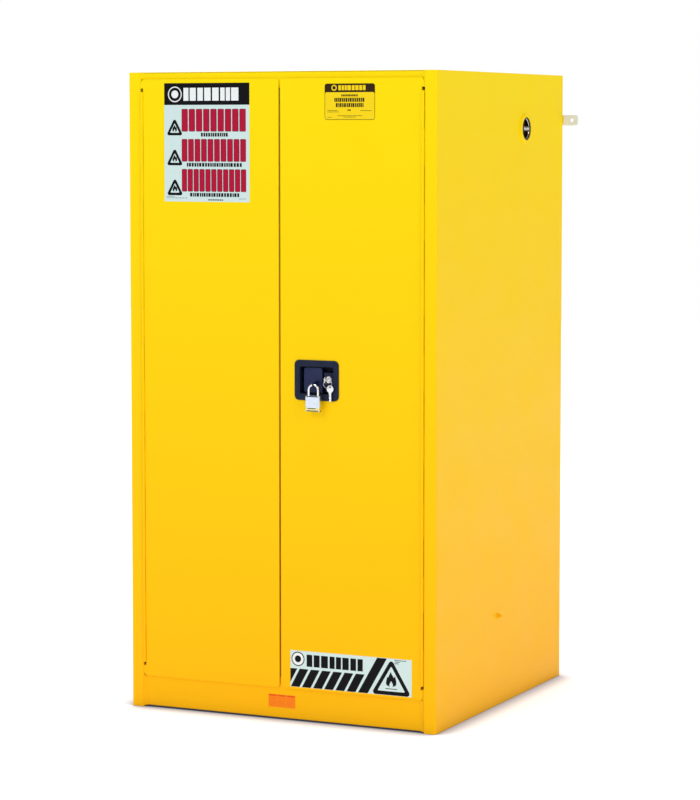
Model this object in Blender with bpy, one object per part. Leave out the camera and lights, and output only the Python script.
"""Flammable-liquids storage cabinet: a double-wall steel cupboard with two doors.

Metres, +Z up. The pieces are placed in cabinet coordinates (x to the right, y inward from the
plane of the door fronts, z up from the floor) under one empty, which moves them so that the
origin is at the middle of the bounding box's underside. The doors face -Y.
"""
import math

import bmesh
import bpy
from mathutils import Matrix, Vector

# ---- casing ----
WIDTH = 0.864
DEPTH = 0.864
HEIGHT = 1.651
SHEET = 0.0012            # all the sheet steel
GAP = 0.0003              # play between two pieces that touch
BEND = 0.0025             # outside radius of a fold
FLANGE = 0.033            # width of the side panels' front flange
RETURN_DEPTH = 0.050      # how far the frame goes back round the opening
FOOT_FLANGE = 0.025       # flange on which the cabinet stands
RECESS = 0.006            # header and kick panel stand this far behind the flanges
OPENING_Z = (0.112, 1.609)
BASE_Z = 0.020
SUMP_FLOOR_Z = 0.061
INNER_X = 0.3916          # inside face of the inner side walls
INNER_TOP_Z = 1.6106
INNER_BACK_Y = 0.8245
INNER_FRONT_Y = 0.0512

# ---- doors ----
DOOR_Z = (0.083, 1.633)
DOOR_GAP = 0.005
DOOR_CORNER = 0.011
DOOR_EDGE_X = 0.391
DOOR_EAR_X = 0.3972       # the skin runs further out above and below the hinge
EAR_Z = (0.1095, 1.6105)
LIP_DEPTH = 0.0055        # the door skin's turned edges
DOOR_DEPTH = 0.045
LINER_Z = (0.116, 1.605)
HINGE_X = 0.395
HINGE_Y = -0.001
KNUCKLE_R = 0.0036
PIN_R = 0.0021
HINGE_Z = (0.119, 1.601)
KNUCKLES = 16
LEAF_DEPTH = 0.036

# ---- handle, latch and lock on the right door ----
DISH_X = (0.043, 0.166)
DISH_Z = (0.824, 0.926)
TUB_X = (0.0560, 0.1530)
TUB_Z = (0.839, 0.911)
TUB_DEPTH = 0.030
TUB_WALL = 0.0015
BEZEL_FRONT = -0.002
PADDLE_X = 0.113          # the paddle's pin
PADDLE_Y = 0.0125
PLATE_Y = (0.0058, 0.0085)
BARREL_R = 0.0038
PADDLE_PIN_R = 0.0018
SPRING_R = 0.0031
PADDLE_Z = (0.8435, 0.9065)
PADDLE_LEFT = 0.066
SPRING_Z = (0.8985, 0.9075)
CRANK_X = 0.1045
CRANK_Z = 0.875
CRANK_R = 0.024
CRANK_START = math.radians(-15.0)
CRANK_PIN_R = 0.003
ROD_Y = (0.0315, 0.0355)
ROD_SHIFT = CRANK_R * (1 + math.cos(CRANK_START)) / 2   # mean reach of a crank pin
ROD_TOP_X = CRANK_X - ROD_SHIFT
ROD_LOW_X = CRANK_X + ROD_SHIFT
BOLT_Z = CRANK_Z - ROD_SHIFT
ROD_TOP_TIP = 1.6075
ROD_LOW_TIP = 0.1135
BOLT_TIP = 0.0005
CRANK_Y = (0.0360, 0.0390)
LOCK_X = 0.1355
LOCK_Z = 0.8775
HOUSING_X = (0.1230, 0.1490)
HOUSING_HALF = 0.0175     # half of its height
LOCK_R = 0.0062
BOW_R = 0.0092
BOW_FRONT = -0.0215
KEY_HALF = 0.0008         # half of a key's thickness
KEY_HOLE_R = 0.0029
KEY_HOLE = Vector((LOCK_X, -0.0170, LOCK_Z))
RING_R = 0.0110
RING_LEAN = math.radians(38.0)
RING_TURN = math.radians(45.0)

# ---- padlock, which hangs on the paddle's eye ----
PADLOCK_X = 0.1035
PADLOCK_Y = -0.018
EYE_Z = 0.8655
EYE_R = 0.0066
SHACKLE_R = 0.0130
SHACKLE_WIRE = 0.0027
PADLOCK_Z = (0.798, 0.838)
PADLOCK_W = 0.040
PADLOCK_T = 0.015

# ---- inside ----
SHELF_Z = (0.5715, 1.0795)
SHELF_X = 0.388
SHELF_Y = (0.066, 0.815)
SHELF_H = 0.028
SLOT_PITCH = 0.0635
SLOT_Y = (0.20, 0.68)
SLOT_FIRST_Z = 0.254
SLOT_COUNT = 19

# ---- outside fittings ----
VENT_Y = 0.587
VENT_Z = (0.300, 1.507)   # left side, right side
VENT_RING_R = 0.039
VENT_BORE_R = 0.0305
TAB_Z = (1.516, 1.544)
TAB_OUT = 0.043
TAB_SHEET = 0.003
LUG_Y = 0.409
LUG_Z = 0.237
FOOT_X = 0.365
FOOT_Y = (0.090, 0.800)

FRONT_PROUD = PADLOCK_T / 2 - PADLOCK_Y   # the padlock, in front of the doors
SHIFT_Y = -(DEPTH + GAP + TAB_SHEET - FRONT_PROUD) / 2

YELLOW = (0.93, 0.52, 0.012)
YELLOW_SIDE = (0.90, 0.47, 0.015)
GALVANISED = (0.52, 0.54, 0.55)
STEEL = (0.55, 0.53, 0.50)
BRASS = (0.62, 0.47, 0.20)
BLACK = (0.012, 0.014, 0.022)


# ---------------------------------------------------------------- helpers
def clear_scene():
    for obj in list(bpy.data.objects):
        bpy.data.objects.remove(obj, do_unlink=True)


def material(name, colour, roughness, metallic):
    mat = bpy.data.materials.new(name)
    mat.use_nodes = True
    shader = mat.node_tree.nodes["Principled BSDF"]
    shader.inputs["Base Color"].default_value = (*colour, 1.0)
    shader.inputs["Roughness"].default_value = roughness
    shader.inputs["Metallic"].default_value = metallic
    return mat


def new_object(name, bm, origin=(0, 0, 0)):
    """Makes an object of a mesh in cabinet coordinates, with its origin at the given point."""
    bmesh.ops.recalc_face_normals(bm, faces=bm.faces)
    bm.transform(Matrix.Translation(-Vector(origin)))
    mesh = bpy.data.meshes.new(name)
    bm.to_mesh(mesh)
    bm.free()
    obj = bpy.data.objects.new(name, mesh)
    bpy.context.scene.collection.objects.link(obj)
    obj.location = origin
    return obj


def part(name, bm, finish, origin=(0, 0, 0), smooth=False):
    obj = new_object(name, bm, origin)
    obj.data.materials.append(finish)
    obj.parent = ROOT
    if smooth:
        obj.data.shade_smooth()
        obj.data.set_sharp_from_angle(angle=math.radians(35))
    return obj


def helper(obj, shape_bm, operation):
    """Joins a shape to an object, or cuts it out, with a Boolean modifier."""
    tool = new_object(obj.name + "_tool", shape_bm)
    tool.parent = ROOT
    tool.hide_render = True
    tool.display_type = 'WIRE'
    modifier = obj.modifiers.new(operation.title(), 'BOOLEAN')
    modifier.operation = operation
    modifier.object = tool
    return tool


def cut(obj, shape_bm):
    return helper(obj, shape_bm, 'DIFFERENCE')


def join(obj, shape_bm):
    return helper(obj, shape_bm, 'UNION')


def add_box(bm, x, y, z):
    """Adds a box between two x, two y and two z values."""
    size = [abs(pair[1] - pair[0]) for pair in (x, y, z)]
    middle = [(pair[1] + pair[0]) / 2 for pair in (x, y, z)]
    matrix = Matrix.Translation(middle) @ Matrix.Diagonal((*size, 1.0))
    bmesh.ops.create_cube(bm, size=1.0, matrix=matrix)
    return bm


def block(x, y, z):
    return add_box(bmesh.new(), x, y, z)


AXIS_TURN = {
    'X': Matrix.Rotation(math.pi / 2, 4, 'Y'),
    'Y': Matrix.Rotation(-math.pi / 2, 4, 'X'),
    'Z': Matrix.Identity(4),
}


def add_rod(bm, axis, centre, radius, span, sides=20, radius_far=None):
    """Adds a round rod along an axis. centre is its place across the axis, in x, y, z order."""
    index = 'XYZ'.index(axis)
    middle = list(centre)
    middle.insert(index, (span[0] + span[1]) / 2)
    bmesh.ops.create_cone(
        bm, cap_ends=True, segments=sides, radius1=radius, radius2=radius_far or radius,
        depth=abs(span[1] - span[0]), matrix=Matrix.Translation(middle) @ AXIS_TURN[axis])
    return bm


def rod(axis, centre, radius, span, sides=20):
    return add_rod(bmesh.new(), axis, centre, radius, span, sides)


def prism(outline, plane, span):
    """Extrudes a closed outline: plane 'XY', 'XZ' or 'YZ' gives its two axes."""
    third = ({'X', 'Y', 'Z'} - set(plane)).pop()
    bm = bmesh.new()
    ends = []
    for level in span:
        verts = []
        for point in outline:
            place = {plane[0]: point[0], plane[1]: point[1], third: level}
            verts.append(bm.verts.new((place['X'], place['Y'], place['Z'])))
        ends.append(verts)
    bm.faces.new(ends[0])
    bm.faces.new(ends[1])
    for index in range(len(outline)):
        after = (index + 1) % len(outline)
        bm.faces.new((ends[0][index], ends[0][after], ends[1][after], ends[1][index]))
    return bm


def arc(centre, radius, start, end, steps):
    """Points on an arc, from one angle to the other, in degrees."""
    points = []
    for step in range(steps + 1):
        angle = math.radians(start + (end - start) * step / steps)
        points.append((centre[0] + radius * math.cos(angle), centre[1] + radius * math.sin(angle)))
    return points


def rounded(x, z, radius, steps=4):
    """A rectangle with round corners."""
    (x0, x1), (z0, z1) = x, z
    return (arc((x1 - radius, z1 - radius), radius, 0, 90, steps)
            + arc((x0 + radius, z1 - radius), radius, 90, 180, steps)
            + arc((x0 + radius, z0 + radius), radius, 180, 270, steps)
            + arc((x1 - radius, z0 + radius), radius, 270, 360, steps))


def folded(path, side=1, thickness=SHEET, bend=BEND, steps=3):
    """Outline of a folded sheet. path is one face; side 1 puts the metal on its left, -1 right."""
    points = [Vector(point) for point in path]
    face, back = [], []
    for index, point in enumerate(points):
        before = points[index] - points[index - 1] if index else points[1] - points[0]
        after = points[index + 1] - point if index < len(points) - 1 else before
        before, after = before.normalized(), after.normalized()
        turn = before.cross(after)
        if abs(turn) < 1e-6:
            normal = Vector((-after.y, after.x)) * side
            face.append(point)
            back.append(point + normal * thickness)
            continue
        inner = 1 if turn > 0 else -1
        radius = bend if inner == side else bend - thickness
        other = bend - thickness if inner == side else bend
        normal_in = Vector((-before.y, before.x)) * inner
        normal_out = Vector((-after.y, after.x)) * inner
        centre = point + (normal_in + normal_out) / (1 + normal_in.dot(normal_out)) * radius
        for step in range(steps + 1):
            way = normal_in.slerp(normal_out, step / steps)
            face.append(centre - way * radius)
            back.append(centre - way * other)
    return [tuple(point) for point in face + back[::-1]]


def mirrored(outline):
    return [(-point[0], point[1]) for point in outline]


def turned(profile, axis, centre, sides=24):
    """Spins a closed outline of (radius, distance along the axis) round an axis."""
    bm = bmesh.new()
    index = 'XYZ'.index(axis)
    rings = []
    for side in range(sides):
        angle = 2 * math.pi * side / sides
        ring = []
        for radius, along in profile:
            place = [centre[0] + radius * math.cos(angle), centre[1] + radius * math.sin(angle)]
            place.insert(index, along)
            ring.append(bm.verts.new(place))
        rings.append(ring)
    count = len(profile)
    for side in range(sides):
        here, there = rings[side], rings[(side + 1) % sides]
        for step in range(count):
            after = (step + 1) % count
            bm.faces.new((here[step], here[after], there[after], there[step]))
    return bm


def wire(points, radius, sides=8, closed=False):
    """Sweeps a round wire along points in space, with frames carried from each to the next."""
    bm = bmesh.new()
    count = len(points)
    rings = []
    normal = None
    for index, point in enumerate(points):
        before = points[index - 1] if index or closed else point
        after = points[(index + 1) % count] if index < count - 1 or closed else point
        tangent = (after - before).normalized()
        if normal is None:
            normal = tangent.orthogonal().normalized()
        normal = (normal - tangent * normal.dot(tangent)).normalized()
        across = tangent.cross(normal)
        rings.append([bm.verts.new(point + normal * radius * math.cos(2 * math.pi * s / sides)
                                   + across * radius * math.sin(2 * math.pi * s / sides))
                      for s in range(sides)])
    for index in range(count if closed else count - 1):
        here, there = rings[index], rings[(index + 1) % count]
        for s in range(sides):
            after = (s + 1) % sides
            bm.faces.new((here[s], here[after], there[after], there[s]))
    if not closed:
        bm.faces.new(rings[0])
        bm.faces.new(rings[-1])
    return bm


# ---------------------------------------------------------------- casing
def side_panel(name, side):
    """Outer wall with front, rear and foot flanges, and the frame's return beside the opening."""
    outer = WIDTH / 2
    inner = outer - FLANGE
    path = [(inner, RETURN_DEPTH), (inner, 0.0), (outer, 0.0), (outer, DEPTH),
            (outer - FOOT_FLANGE, DEPTH)]
    outline = folded(path, 1)
    foot_x = (outer - FOOT_FLANGE, outer - SHEET / 2)
    foot_y = (0.004, DEPTH - SHEET / 2)
    trim_x = (inner - 0.002, inner + 0.006)
    if side < 0:
        outline = mirrored(outline)
        foot_x = (-foot_x[1], -foot_x[0])
        trim_x = (-trim_x[1], -trim_x[0])
    panel = part(name, prism(outline, 'XY', (0.0, HEIGHT)), YELLOW_PAINT_SIDE)
    join(panel, block(foot_x, foot_y, (0.0, SHEET)))
    cut(panel, block(trim_x, (RECESS - GAP, 0.06), (HEIGHT - 0.021, HEIGHT + 0.01)))
    vent_z = VENT_Z[1] if side > 0 else VENT_Z[0]
    span = sorted((side * (outer - 0.01), side * (outer + 0.01)))
    cut(panel, rod('X', (VENT_Y, vent_z), VENT_BORE_R + 0.0028, span, 32))
    return panel


def casing():
    side_panel("side_panel_right", 1)
    side_panel("side_panel_left", -1)
    wall = WIDTH / 2 - SHEET - GAP
    rear_y = DEPTH - SHEET - GAP
    part("rear_panel", block((-wall + BEND, wall - BEND), (rear_y - SHEET, rear_y),
                             (SHEET + GAP, HEIGHT - 0.0025)), YELLOW_PAINT)

    pan = [(-wall, HEIGHT - 0.023), (-wall, HEIGHT), (wall, HEIGHT), (wall, HEIGHT - 0.023)]
    top = part("top_panel", prism(folded(pan, -1), 'XZ', (RECESS, rear_y - SHEET - GAP)),
               YELLOW_PAINT)
    ear = (WIDTH / 2 - FLANGE + BEND + GAP, wall - 0.004)
    for low, high in (ear, (-ear[1], -ear[0])):
        join(top, block((low, high), (SHEET + GAP, 0.03), (HEIGHT - SHEET, HEIGHT)))

    tray = [(-wall, BASE_Z + 0.025), (-wall, BASE_Z), (wall, BASE_Z), (wall, BASE_Z + 0.025)]
    part("base_panel", prism(folded(tray, 1), 'XZ', (RETURN_DEPTH + 0.002, rear_y - SHEET - GAP)),
         YELLOW_PAINT)

    rail_x = (-(WIDTH / 2 - FLANGE - GAP), WIDTH / 2 - FLANGE - GAP)
    head_top = HEIGHT - SHEET - GAP
    head = [(RETURN_DEPTH - 0.012, head_top), (RECESS, head_top), (RECESS, OPENING_Z[1]),
            (RETURN_DEPTH, OPENING_Z[1])]
    header = part("header_rail", prism(folded(head, 1), 'YZ', rail_x), YELLOW_PAINT)
    kick = [(RETURN_DEPTH, OPENING_Z[0]), (RECESS, OPENING_Z[0]), (RECESS, 0.004),
            (RETURN_DEPTH - 0.005, 0.004)]
    sill = part("kick_panel", prism(folded(kick, 1), 'YZ', rail_x), YELLOW_PAINT)
    # keeper holes for the two latch rods
    rod_y = sum(ROD_Y) / 2
    cut(header, block((ROD_TOP_X - 0.0095, ROD_TOP_X + 0.0095), (rod_y - 0.005, rod_y + 0.005),
                      (OPENING_Z[1] - 0.01, OPENING_Z[1] + 0.01)))
    cut(sill, block((ROD_LOW_X - 0.0095, ROD_LOW_X + 0.0095), (rod_y - 0.005, rod_y + 0.005),
                    (OPENING_Z[0] - 0.01, OPENING_Z[0] + 0.01)))


def inner_walls():
    floor = BASE_Z + SHEET + GAP
    outer = WIDTH / 2 - SHEET - 0.0015
    for name, side in (("inner_side_right", 1), ("inner_side_left", -1)):
        path = [(outer, INNER_FRONT_Y), (INNER_X, INNER_FRONT_Y), (INNER_X, INNER_BACK_Y - 0.0005)]
        outline = folded(path, -1)
        if side < 0:
            outline = mirrored(outline)
        low = BASE_Z + 0.026
        wall = part(name, prism(outline, 'XY', (low, HEIGHT - 0.025)), YELLOW_PAINT)
        slots = bmesh.new()
        for y in SLOT_Y:
            for step in range(SLOT_COUNT):
                z = SLOT_FIRST_Z + step * SLOT_PITCH
                add_box(slots, (side * (INNER_X - 0.004), side * (INNER_X + 0.005)),
                        (y - 0.0015, y + 0.0015), (z - 0.006, z + 0.006))
        cut(wall, slots)
        vent_z = VENT_Z[1] if side > 0 else VENT_Z[0]
        span = sorted((side * (INNER_X - 0.01), side * (INNER_X + 0.01)))
        cut(wall, rod('X', (VENT_Y, vent_z), VENT_BORE_R + 0.0028, span, 32))
    back_x = INNER_X + SHEET
    part("inner_back", block((-back_x, back_x), (INNER_BACK_Y, INNER_BACK_Y + SHEET),
                             (floor, HEIGHT - 0.025)), YELLOW_PAINT)
    lid_x = INNER_X - GAP
    part("inner_top", block((-lid_x, lid_x), (INNER_FRONT_Y, INNER_BACK_Y - GAP),
                            (INNER_TOP_Z, INNER_TOP_Z + SHEET)), YELLOW_PAINT)
    # leak-proof sump: one welded pan whose front edge is the sill
    front, back = INNER_FRONT_Y + 0.001, INNER_BACK_Y - GAP
    rim = OPENING_Z[0] - 0.001
    sump = part("sump_pan", block((-lid_x, lid_x), (front, back), (SUMP_FLOOR_Z, rim)), YELLOW_PAINT)
    cut(sump, block((-lid_x + SHEET, lid_x - SHEET), (front + SHEET, back - SHEET),
                    (SUMP_FLOOR_Z + SHEET, rim + 0.05)))


def shelves():
    """Two drawn shelves, each resting on two ledge angles that hook into the wall slots."""
    for name, top in zip(("lower", "upper"), SHELF_Z):
        shelf = part("shelf_" + name, block((-SHELF_X, SHELF_X), SHELF_Y, (top - SHELF_H, top)),
                     ZINC, origin=(0, sum(SHELF_Y) / 2, top))
        cut(shelf, block((-SHELF_X + SHEET, SHELF_X - SHEET),
                         (SHELF_Y[0] + SHEET, SHELF_Y[1] - SHEET), (top - 0.05, top - SHEET)))
        # the top is a shallow tray, with a rim all round
        cut(shelf, block((-SHELF_X + 0.012, SHELF_X - 0.012), (SHELF_Y[0] + 0.012, SHELF_Y[1] - 0.012),
                         (top - SHEET / 2, top + 0.01)))
        seat = top - SHELF_H - GAP
        for side_name, side in (("right", 1), ("left", -1)):
            wall = INNER_X - GAP
            path = [(0.372, seat - SHEET), (wall, seat - SHEET), (wall, seat + 0.036)]
            outline = folded(path, 1)
            if side < 0:
                outline = mirrored(outline)
            ledge = part("shelf_ledge_%s_%s" % (name, side_name), prism(outline, 'XZ', (0.12, 0.76)),
                         ZINC)
            # hooks through the slots nearest below the seat
            step = round((seat + 0.011 - SLOT_FIRST_Z) / SLOT_PITCH)
            hook_z = SLOT_FIRST_Z + step * SLOT_PITCH
            for y in SLOT_Y:
                join(ledge, block((side * (wall - 0.0006), side * (INNER_X + 0.004)),
                                  (y - 0.0011, y + 0.0011), (hook_z - 0.0055, hook_z + 0.0055)))


# ---------------------------------------------------------------- outside fittings
def vents():
    """A welded vent collar through both walls, a flame screen in it and a plug."""
    outer = WIDTH / 2
    for name, side, z in (("right", 1, VENT_Z[1]), ("left", -1, VENT_Z[0])):
        def along(*values):
            return [side * value for value in values]
        tip, flange, shoulder, inside = along(outer + 0.0045, outer + 0.0003, outer + 0.0003,
                                              INNER_X - 0.0035)
        tube = VENT_BORE_R + 0.0022
        seat = side * (INNER_X + 0.004)
        profile = [(VENT_BORE_R, tip), (VENT_RING_R - 0.0015, tip), (VENT_RING_R, tip - side * 0.0015),
                   (VENT_RING_R, flange), (tube, shoulder), (tube, inside), (VENT_BORE_R, inside)]
        centre = (VENT_Y, z)
        part("vent_collar_" + name, turned(profile, 'X', centre, 32), YELLOW_PAINT_SIDE, smooth=True)
        screen_x = sorted((seat + side * GAP, seat + side * (GAP + 0.0025)))
        part("vent_screen_" + name, rod('X', centre, VENT_BORE_R - 2 * GAP, screen_x, 32), STEEL_BARE)
        body = VENT_BORE_R - 0.0006
        low = side * (outer - 0.016)
        face = side * (outer + 0.0035)
        plug = part("vent_plug_" + name, rod('X', centre, body, sorted((low, face)), 32),
                    BLACK_PLASTIC, origin=(side * outer, VENT_Y, z), smooth=True)
        cut(plug, grip_recess(side, centre, face, body))


def grip_recess(side, centre, face, body):
    """Two half-round pockets in the plug's face, which leave a grip bar across it."""
    depth = 0.010
    bm = bmesh.new()
    for sign in (1, -1):
        outline = arc((0, 0), body - 0.0035, 14, 166, 12)
        ends = []
        for level in (face - side * depth, face + side * 0.01):
            ends.append([bm.verts.new((level, centre[0] + x, centre[1] + sign * y))
                         for x, y in outline])
        bm.faces.new(ends[0])
        bm.faces.new(ends[1])
        for index in range(len(outline)):
            after = (index + 1) % len(outline)
            bm.faces.new((ends[0][index], ends[0][after], ends[1][after], ends[1][index]))
    return bm


def outside_fittings():
    outer = WIDTH / 2
    # ground lug on the right side: a boss with a screw
    lug = part("ground_screw", rod('X', (LUG_Y, LUG_Z), 0.0055, (outer + GAP, outer + 0.006), 12),
               STEEL_BARE, smooth=True)
    join(lug, rod('X', (LUG_Y, LUG_Z), 0.0032, (outer + 0.005, outer + 0.012), 12))
    # wall tabs behind the rear corners, for fastening the cabinet to a wall
    back = DEPTH + GAP
    for name, side in (("wall_tab_right", 1), ("wall_tab_left", -1)):
        outline = rounded((outer - 0.045, outer + TAB_OUT), TAB_Z, 0.006)
        hole_x = outer + 0.026
        if side < 0:
            outline = mirrored(outline)
            hole_x = -hole_x
        tab = part(name, prism(outline, 'XZ', (back, back + TAB_SHEET)), ZINC)
        cut(tab, rod('Y', (hole_x, sum(TAB_Z) / 2), 0.005, (back - 0.01, back + 0.02), 20))
    # levelling feet, reached through the base and wound down from there
    for x, x_name in ((FOOT_X, "right"), (-FOOT_X, "left")):
        for y, y_name in zip(FOOT_Y, ("front", "rear")):
            foot = rod('Z', (x, y), 0.0052, (0.006, 0.044), 14)
            foot_obj = part("levelling_foot_%s_%s" % (y_name, x_name), foot, STEEL_BARE,
                            origin=(x, y, 0.001), smooth=True)
            plate = bmesh.new()
            add_rod(plate, 'Z', (x, y), 0.019, (0.0012, 0.0082), 24, radius_far=0.013)
            join(foot_obj, plate)
    # holes in the base panel for the four feet
    base = bpy.data.objects["base_panel"]
    holes = bmesh.new()
    for x in (FOOT_X, -FOOT_X):
        for y in FOOT_Y:
            add_rod(holes, 'Z', (x, y), 0.0058, (BASE_Z - 0.01, BASE_Z + 0.01), 16)
    cut(base, holes)


# ---------------------------------------------------------------- doors and hinges
def span(low, high, side):
    """Two x values on the right half, or the same two mirrored to the left half."""
    return (low, high) if side > 0 else (-high, -low)


def door(name, side):
    """Outer skin with turned lips and a deep hinge edge, and a liner pan that closes its back."""
    axis = (side * HINGE_X, HINGE_Y, 0.0)
    edge = (DOOR_GAP / 2, DOOR_EDGE_X)
    skin = part(name + "_skin", prism(rounded(span(edge[0], DOOR_EAR_X, side), DOOR_Z, DOOR_CORNER),
                                      'XZ', (0.0, LIP_DEPTH)), YELLOW_PAINT, origin=axis)
    inside_x = span(edge[0] + SHEET, DOOR_EAR_X - SHEET, side)
    inside_z = (DOOR_Z[0] + SHEET, DOOR_Z[1] - SHEET)
    cut(skin, prism(rounded(inside_x, inside_z, DOOR_CORNER - SHEET), 'XZ', (SHEET, 0.03)))
    cut(skin, block(span(edge[1], DOOR_EAR_X + 0.01, side), (-0.01, 0.03), EAR_Z))
    join(skin, block(span(edge[1] - SHEET, edge[1] + SHEET / 8, side), (SHEET / 2, LIP_DEPTH), EAR_Z))
    join(skin, block(span(edge[1] - SHEET, edge[1], side), (SHEET, DOOR_DEPTH - 0.005), LINER_Z))

    liner_x = (edge[0] + 0.002, edge[1] - SHEET - 0.0005)
    liner = part(name + "_liner", block(span(*liner_x, side), (SHEET + GAP, DOOR_DEPTH), LINER_Z),
                 YELLOW_PAINT, origin=axis)
    cut(liner, block(span(liner_x[0] + SHEET, liner_x[1] - SHEET, side), (0.0, DOOR_DEPTH - SHEET),
                     (LINER_Z[0] + SHEET, LINER_Z[1] - SHEET)))
    bolt_y = (ROD_Y[0] - 0.0006, ROD_Y[1] + 0.0006)
    cut(liner, block(span(liner_x[0] - 0.003, liner_x[0] + 0.003, side), bolt_y,
                     (BOLT_Z - 0.0058, BOLT_Z + 0.0058)))
    return skin, liner


def doors():
    door("left_door", -1)
    skin, liner = door("right_door", 1)
    cut(skin, block((TUB_X[0] - 0.0004, TUB_X[1] + 0.0004), (-0.01, 0.005),
                    (TUB_Z[0] - 0.0004, TUB_Z[1] + 0.0004)))
    rod_y = (ROD_Y[0] - 0.0006, ROD_Y[1] + 0.0006)
    for x, z in ((ROD_TOP_X, LINER_Z[1]), (ROD_LOW_X, LINER_Z[0])):
        cut(liner, block((x - 0.0066, x + 0.0066), rod_y, (z - 0.005, z + 0.005)))


def hinge_leaf(name, side, door_side):
    """A leaf rolled round the pin, with every other knuckle cut away for the other leaf."""
    def place(x, y):
        return (side * (HINGE_X + (-x if door_side else x)), HINGE_Y + y)
    roll = [(KNUCKLE_R, LEAF_DEPTH)] + arc((0, 0), KNUCKLE_R, 0, -285, 9)
    roll += arc((0, 0), KNUCKLE_R - SHEET, -285, 0, 9) + [(KNUCKLE_R - SHEET, LEAF_DEPTH)]
    outline = [place(x, y) for x, y in roll]
    origin = (side * HINGE_X, HINGE_Y, 0.0)
    leaf = part(name, prism(outline, 'XY', HINGE_Z), YELLOW_PAINT, origin=origin, smooth=True)
    pitch = (HINGE_Z[1] - HINGE_Z[0]) / KNUCKLES
    notches = bmesh.new()
    for index in range(KNUCKLES):
        if index % 2 == (1 if door_side else 0):
            continue
        low = HINGE_Z[0] + index * pitch - (0.0002 if index else 0.01)
        high = HINGE_Z[0] + (index + 1) * pitch + (0.0002 if index < KNUCKLES - 1 else 0.01)
        add_box(notches, (origin[0] - 0.006, origin[0] + 0.006),
                (HINGE_Y - 0.006, HINGE_Y + KNUCKLE_R + 0.0006), (low, high))
    cut(leaf, notches)


def hinges():
    for name, side in (("right", 1), ("left", -1)):
        hinge_leaf("hinge_frame_leaf_" + name, side, False)
        hinge_leaf("hinge_door_leaf_" + name, side, True)
        part("hinge_pin_" + name, rod('Z', (side * HINGE_X, HINGE_Y), PIN_R, HINGE_Z, 12),
             STEEL_BARE, origin=(side * HINGE_X, HINGE_Y, 0.0), smooth=True)


# ---------------------------------------------------------------- handle
def handle():
    """A recessed dish with a paddle that turns on an upright pin near its right edge."""
    dish = part("handle_dish", prism(rounded(DISH_X, DISH_Z, 0.012), 'XZ', (BEZEL_FRONT, -GAP)),
                BLACK_PLASTIC)
    join(dish, prism(rounded(TUB_X, TUB_Z, 0.005), 'XZ', (BEZEL_FRONT / 2, TUB_DEPTH)))
    inner_x = (TUB_X[0] + TUB_WALL, TUB_X[1] - TUB_WALL)
    inner_z = (TUB_Z[0] + TUB_WALL, TUB_Z[1] - TUB_WALL)
    cut(dish, prism(rounded(inner_x, inner_z, 0.0035), 'XZ', (-0.01, TUB_DEPTH - TUB_WALL)))
    join(dish, rod('Y', (CRANK_X, CRANK_Z), 0.0030, (TUB_DEPTH - 0.001, CRANK_Y[1] + 0.0015), 16))

    axis = (PADDLE_X, PADDLE_Y, sum(PADDLE_Z) / 2)
    plate = rounded((PADDLE_LEFT, PADDLE_X + BARREL_R), PADDLE_Z, 0.0065)
    paddle = part("paddle", prism(plate, 'XZ', PLATE_Y), BLACK_PLASTIC, origin=axis)
    join(paddle, rod('Z', (PADDLE_X, PADDLE_Y), BARREL_R, (PADDLE_Z[0] + 0.004, PADDLE_Z[1] - 0.004),
                     20))
    join(paddle, block((PADDLE_X - 0.0030, PADDLE_X + 0.0030), (PLATE_Y[1] - 0.001, PADDLE_Y - 0.0023),
                       (PADDLE_Z[0] + 0.0045, PADDLE_Z[1] - 0.0045)))
    # the finger edge is turned back
    join(paddle, block((PADDLE_LEFT + 0.0006, PADDLE_LEFT + 0.003), (PLATE_Y[0] + 0.001, 0.016),
                       (PADDLE_Z[0] + 0.007, PADDLE_Z[1] - 0.007)))
    eye = [(PLATE_Y[1] - 0.001, EYE_Z - 0.0100), (PLATE_Y[1] - 0.001, EYE_Z + 0.0100)]
    eye += arc((PADLOCK_Y, EYE_Z), EYE_R, 75, 285, 12)
    join(paddle, prism(eye, 'YZ', (PADLOCK_X - 0.0012, PADLOCK_X + 0.0012)))
    cut(paddle, rod('X', (PADLOCK_Y, EYE_Z), 0.0038, (PADLOCK_X - 0.01, PADLOCK_X + 0.01), 20))
    cut(paddle, rod('Z', (PADDLE_X, PADDLE_Y), PADDLE_PIN_R + 0.0004,
                    (PADDLE_Z[0] - 0.01, PADDLE_Z[1] + 0.01), 16))
    cut(paddle, block((PADDLE_X - 0.0052, PADDLE_X + 0.006), (PLATE_Y[1] + 0.0001, PADDLE_Y + 0.006),
                      (SPRING_Z[0] - 0.0006, PADDLE_Z[1] + 0.01)))
    part("paddle_pin", rod('Z', (PADDLE_X, PADDLE_Y), PADDLE_PIN_R,
                           (TUB_Z[0] + TUB_WALL + GAP, TUB_Z[1] - TUB_WALL - GAP), 14),
         STEEL_BARE, origin=axis, smooth=True)

    # torsion spring round the pin; its tail reaches back into the dish
    turns, steps = 4, 12
    points = []
    for step in range(turns * steps + 1):
        angle = 2 * math.pi * step / steps
        z = SPRING_Z[0] + (SPRING_Z[1] - SPRING_Z[0]) * step / (turns * steps)
        points.append(Vector((PADDLE_X + SPRING_R * math.cos(angle),
                              PADDLE_Y + SPRING_R * math.sin(angle), z)))
    points.append(points[-1] + Vector((0.0, 0.006, 0.0)))
    part("paddle_spring", wire(points, 0.0005, 6), STEEL_BARE, smooth=True)


# ---------------------------------------------------------------- latch
def crank_pin(angle):
    """Place of a crank pin at rest, from the crank's own angle to it in degrees."""
    turn = math.radians(angle) + CRANK_START
    return CRANK_X + CRANK_R * math.cos(turn), CRANK_Z + CRANK_R * math.sin(turn)


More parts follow.
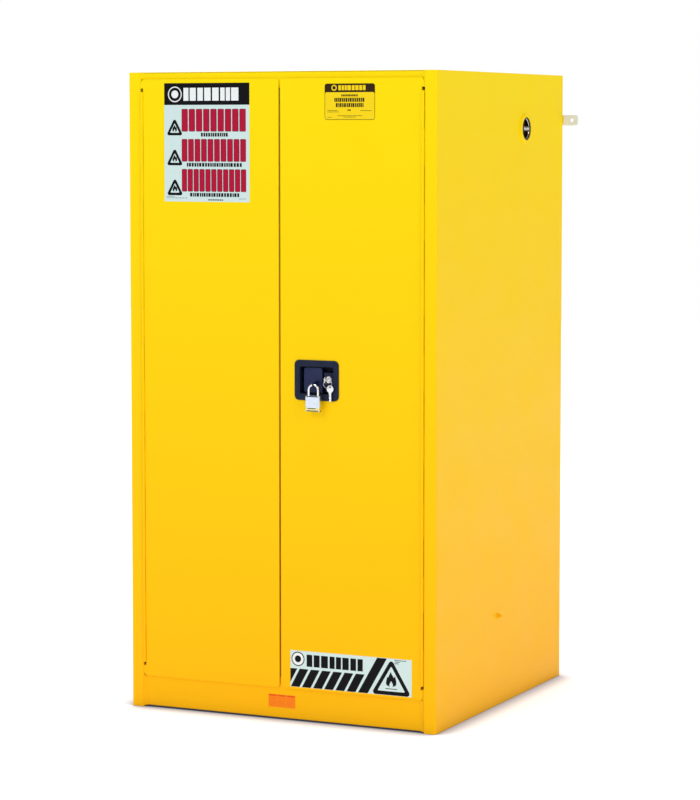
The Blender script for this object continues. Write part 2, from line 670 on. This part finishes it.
def latch():
    """A crank behind the dish draws two rods and a centre bolt in by the same distance."""
    start = math.degrees(CRANK_START)
    outline = []
    for angle, first, last in ((0, 90, -45), (-90, -45, -135), (180, -135, -270)):
        outline += arc(crank_pin(angle), 0.0065, first + start, last + start, 6)
    origin = (CRANK_X, CRANK_Y[0], CRANK_Z)
    crank = part("crank_plate", prism(outline, 'XZ', CRANK_Y), ZINC, origin=origin)
    cut(crank, rod('Y', (CRANK_X, CRANK_Z), 0.0034, (CRANK_Y[0] - 0.01, CRANK_Y[1] + 0.01), 16))
    for angle in (0, -90, 180):
        join(crank, rod('Y', crank_pin(angle), CRANK_PIN_R, (ROD_Y[0] - 0.0003, CRANK_Y[0] + 0.0015),
                        14))

    play, reach = CRANK_PIN_R + 0.0004, CRANK_PIN_R + 0.0009
    sides = (("latch_rod_top", ROD_TOP_X, crank_pin(180)[1], ROD_TOP_TIP),
             ("latch_rod_bottom", ROD_LOW_X, crank_pin(0)[1], ROD_LOW_TIP))
    for name, x, pin_z, tip in sides:
        bar = part(name, block((x - 0.006, x + 0.006), ROD_Y, sorted((pin_z, tip))), ZINC,
                   origin=(x, sum(ROD_Y) / 2, pin_z))
        join(bar, block((x - 0.0095, x + 0.0095), ROD_Y, (pin_z - 0.0078, pin_z + 0.0078)))
        cut(bar, block((x - reach, x + reach), (0.0, 0.1), (pin_z - play, pin_z + play)))
    pin_x = crank_pin(-90)[0]
    bolt = part("centre_bolt", block((BOLT_TIP, pin_x), ROD_Y, (BOLT_Z - 0.005, BOLT_Z + 0.005)), ZINC,
                origin=(pin_x, sum(ROD_Y) / 2, BOLT_Z))
    join(bolt, block((pin_x - 0.0078, pin_x + 0.0078), ROD_Y, (BOLT_Z - 0.0085, BOLT_Z + 0.0085)))
    cut(bolt, block((pin_x - play, pin_x + play), (0.0, 0.1), (BOLT_Z - reach, BOLT_Z + reach)))

    for name, x, z in (("rod_guide_top", ROD_TOP_X, 1.50), ("rod_guide_bottom", ROD_LOW_X, 0.22)):
        guide = part(name, block((x - 0.013, x + 0.013), (ROD_Y[0] - 0.003, DOOR_DEPTH - SHEET - GAP),
                                 (z - 0.010, z + 0.010)), ZINC)
        cut(guide, block((x - 0.0066, x + 0.0066), (ROD_Y[0] - 0.0006, ROD_Y[1] + 0.0006),
                         (z - 0.02, z + 0.02)))


# ---------------------------------------------------------------- lock and keys
def key_bow(centre, radius, steps=20):
    """Outline of a key's round bow."""
    return arc(centre, radius, 0, 360 - 360 / steps, steps - 1)


def lock():
    housing = part("lock_housing", block(HOUSING_X, (0.004, TUB_DEPTH - TUB_WALL - GAP),
                                         (LOCK_Z - HOUSING_HALF, LOCK_Z + HOUSING_HALF)),
                   BLACK_PLASTIC)
    cut(housing, rod('Y', (LOCK_X, LOCK_Z), LOCK_R + 0.0004, (-0.01, 0.05), 24))
    axis = (LOCK_X, 0.0, LOCK_Z)
    cylinder = part("lock_cylinder", rod('Y', (LOCK_X, LOCK_Z), LOCK_R, (0.0034, 0.0275), 24),
                    STEEL_BARE, origin=axis, smooth=True)
    cut(cylinder, block((LOCK_X - 0.0012, LOCK_X + 0.0012), (-0.01, 0.0245),
                        (LOCK_Z - 0.0043, LOCK_Z + 0.0043)))

    bow_y = BOW_FRONT + BOW_R
    key = part("lock_key", prism(key_bow((bow_y, LOCK_Z), BOW_R), 'YZ',
                                 (LOCK_X - KEY_HALF, LOCK_X + KEY_HALF)), BRASS_METAL, origin=axis)
    join(key, block((LOCK_X - KEY_HALF, LOCK_X + KEY_HALF), (bow_y, 0.0235),
                    (LOCK_Z - 0.0038, LOCK_Z + 0.0038)))
    cut(key, rod('X', (KEY_HOLE.y, KEY_HOLE.z), KEY_HOLE_R, (LOCK_X - 0.01, LOCK_X + 0.01), 16))

    along = Vector((math.cos(RING_TURN), math.sin(RING_TURN), 0.0))
    down = along * math.sin(RING_LEAN) - Vector((0, 0, 1)) * math.cos(RING_LEAN)
    across = along * math.cos(RING_LEAN) + Vector((0, 0, 1)) * math.sin(RING_LEAN)
    centre = KEY_HOLE + down * RING_R
    steps = 28
    points = [centre - down * RING_R * math.cos(2 * math.pi * s / steps)
              + across * RING_R * math.sin(2 * math.pi * s / steps) for s in range(steps)]
    part("key_ring", wire(points, 0.0007, 6, closed=True), STEEL_BARE, origin=tuple(KEY_HOLE),
         smooth=True)

    hole = KEY_HOLE + down * 2 * RING_R
    bow = key_bow((hole.x, hole.z - BOW_R + 0.0045), BOW_R)
    spare = part("spare_key", prism(bow, 'XZ', (hole.y - KEY_HALF, hole.y + KEY_HALF)), BRASS_METAL,
                 origin=tuple(hole))
    join(spare, block((hole.x - 0.0031, hole.x + 0.0031), (hole.y - KEY_HALF, hole.y + KEY_HALF),
                      (hole.z - 0.037, hole.z - 0.010)))
    cut(spare, rod('Y', (hole.x, hole.z), KEY_HOLE_R, (hole.y - 0.01, hole.y + 0.01), 16))


def padlock():
    centre_z = EYE_Z - SHACKLE_R
    legs = PADLOCK_Z[1] - 0.009
    path = [(PADLOCK_X - SHACKLE_R, legs)]
    path += arc((PADLOCK_X, centre_z), SHACKLE_R, 180, 0, 14)
    path += [(PADLOCK_X + SHACKLE_R, legs)]
    points = [Vector((x, PADLOCK_Y, z)) for x, z in path]
    origin = (PADLOCK_X, PADLOCK_Y, EYE_Z)
    part("padlock_shackle", wire(points, SHACKLE_WIRE, 12), STEEL_BARE, origin=origin, smooth=True)
    half = PADLOCK_W / 2
    body = part("padlock_body", prism(rounded((PADLOCK_X - half, PADLOCK_X + half), PADLOCK_Z, 0.004),
                                      'XZ', (PADLOCK_Y - PADLOCK_T / 2, PADLOCK_Y + PADLOCK_T / 2)),
                STEEL_BARE, origin=origin)
    holes = bmesh.new()
    for x in (PADLOCK_X - SHACKLE_R, PADLOCK_X + SHACKLE_R):
        add_rod(holes, 'Z', (x, PADLOCK_Y), SHACKLE_WIRE + 0.0004, (legs - 0.004, PADLOCK_Z[1] + 0.01),
                16)
    cut(body, holes)


# ---------------------------------------------------------------- build
clear_scene()
ROOT = bpy.data.objects.new("cabinet", None)
bpy.context.scene.collection.objects.link(ROOT)
ROOT.location = (0.0, SHIFT_Y, 0.0)

YELLOW_PAINT = material("yellow_paint", YELLOW, 0.42, 0.0)
YELLOW_PAINT_SIDE = material("yellow_paint_side", YELLOW_SIDE, 0.42, 0.0)
ZINC = material("zinc_plate", GALVANISED, 0.38, 0.9)
STEEL_BARE = material("bare_steel", STEEL, 0.30, 1.0)
BRASS_METAL = material("key_metal", BRASS, 0.30, 1.0)
BLACK_PLASTIC = material("black_plastic", BLACK, 0.45, 0.0)

casing()
inner_walls()
shelves()
vents()
outside_fittings()
doors()
hinges()
handle()
latch()
lock()
padlock()
